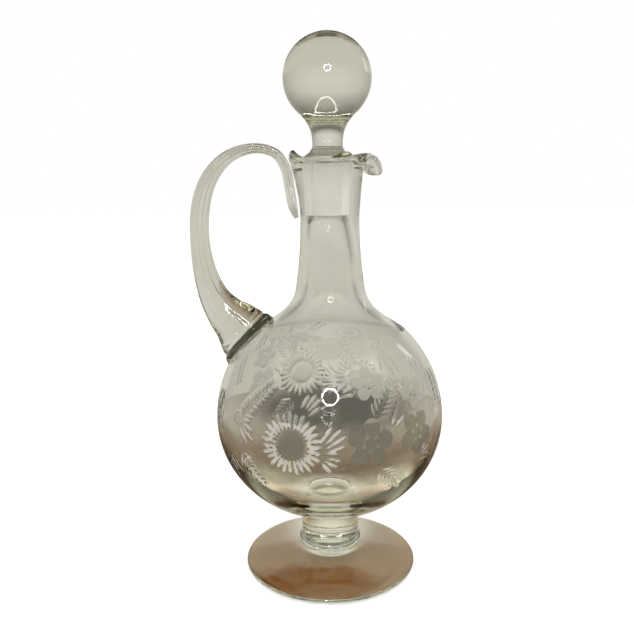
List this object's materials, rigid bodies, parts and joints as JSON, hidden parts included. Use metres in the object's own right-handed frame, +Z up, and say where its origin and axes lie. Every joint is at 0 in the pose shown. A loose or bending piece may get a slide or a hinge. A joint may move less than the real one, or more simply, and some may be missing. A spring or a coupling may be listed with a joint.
{
  "type": "wine decanter",
  "caption": "Footed claret jug in engraved clear glass, with a reeded loop handle, a pulled pouring lip and a ground-in ball stopper.",
  "frame": {"origin": "centre of the foot's underside, on the plane that it stands on", "axes": "+Z up along the bowl's axis, +X towards the pouring lip, -X towards the handle"},
  "size_m": [0.1387, 0.1272, 0.2955],
  "materials": {
    "engraved_glass": "fire-polished soda glass, faintly green where thick, wheel-engraved matt flowers on the bowl and a ground matt socket in the neck",
    "clear_glass": "fire-polished soda glass, faintly green where thick",
    "stopper_glass": "polished solid ball and shank, ground matt plug"
  },
  "bodies": {
    "jug": {"bowl_and_neck": "engraved_glass", "stem": "clear_glass", "foot": "clear_glass", "handle": "clear_glass"},
    "stopper": {"stopper": "stopper_glass"}
  },
  "joints": [
    {"name": "stopper_lift", "type": "slide", "parent": "jug", "child": "stopper", "axis": [0, 0, 1], "range_m": [0, 0.045]}
  ]
}
